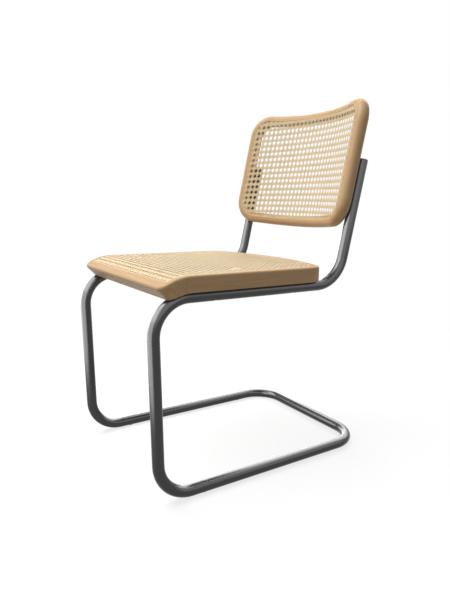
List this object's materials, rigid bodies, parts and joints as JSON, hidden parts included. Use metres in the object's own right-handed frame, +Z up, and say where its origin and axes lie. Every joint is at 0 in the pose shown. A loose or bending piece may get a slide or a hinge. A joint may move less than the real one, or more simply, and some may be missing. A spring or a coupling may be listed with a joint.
{
  "type": "cantilever chair",
  "caption": "Cantilever dining chair with a bent steel tube frame, a caned wooden seat that turns down at the front and a curved, caned wooden back.",
  "frame": {"origin": "on the floor, under the middle of the chair's bounding box", "axes": "+Z up, the sitter faces -Y, +X is the sitter's left; x = 0 is the plane of symmetry"},
  "size_m": [0.444, 0.6074, 0.8402],
  "materials": {
    "tube": "dark satin steel, bent tube",
    "plug": "matt black moulded plastic",
    "glide": "matt black moulded plastic",
    "wood": "pale beech, satin clear lacquer",
    "dowel_wood": "turned beech, raw",
    "cane": "woven natural cane, satin",
    "spline": "reed spline, satin",
    "fastener": "dark zinc-plated steel",
    "insert": "turned brass"
  },
  "bodies": {
    "root": {"frame_tube": "tube", "upright_plug_left": "plug", "upright_plug_right": "plug", "glide_front_left": "glide", "glide_front_right": "glide", "glide_rear_left": "glide", "glide_rear_right": "glide", "seat_front_rail": "wood", "seat_rear_rail": "wood", "seat_left_rail": "wood", "seat_right_rail": "wood", "seat_dowels": "dowel_wood", "seat_cane": "cane", "seat_spline": "spline", "seat_screws": "fastener", "seat_inserts": "insert", "seat_saddle_washers": "fastener", "back_top_rail": "wood", "back_bottom_rail": "wood", "back_left_stile": "wood", "back_right_stile": "wood", "back_dowels": "dowel_wood", "back_cane": "cane", "back_spline": "spline", "back_screws": "fastener", "back_inserts": "insert", "back_saddle_washers": "fastener"}
  },
  "joints": []
}
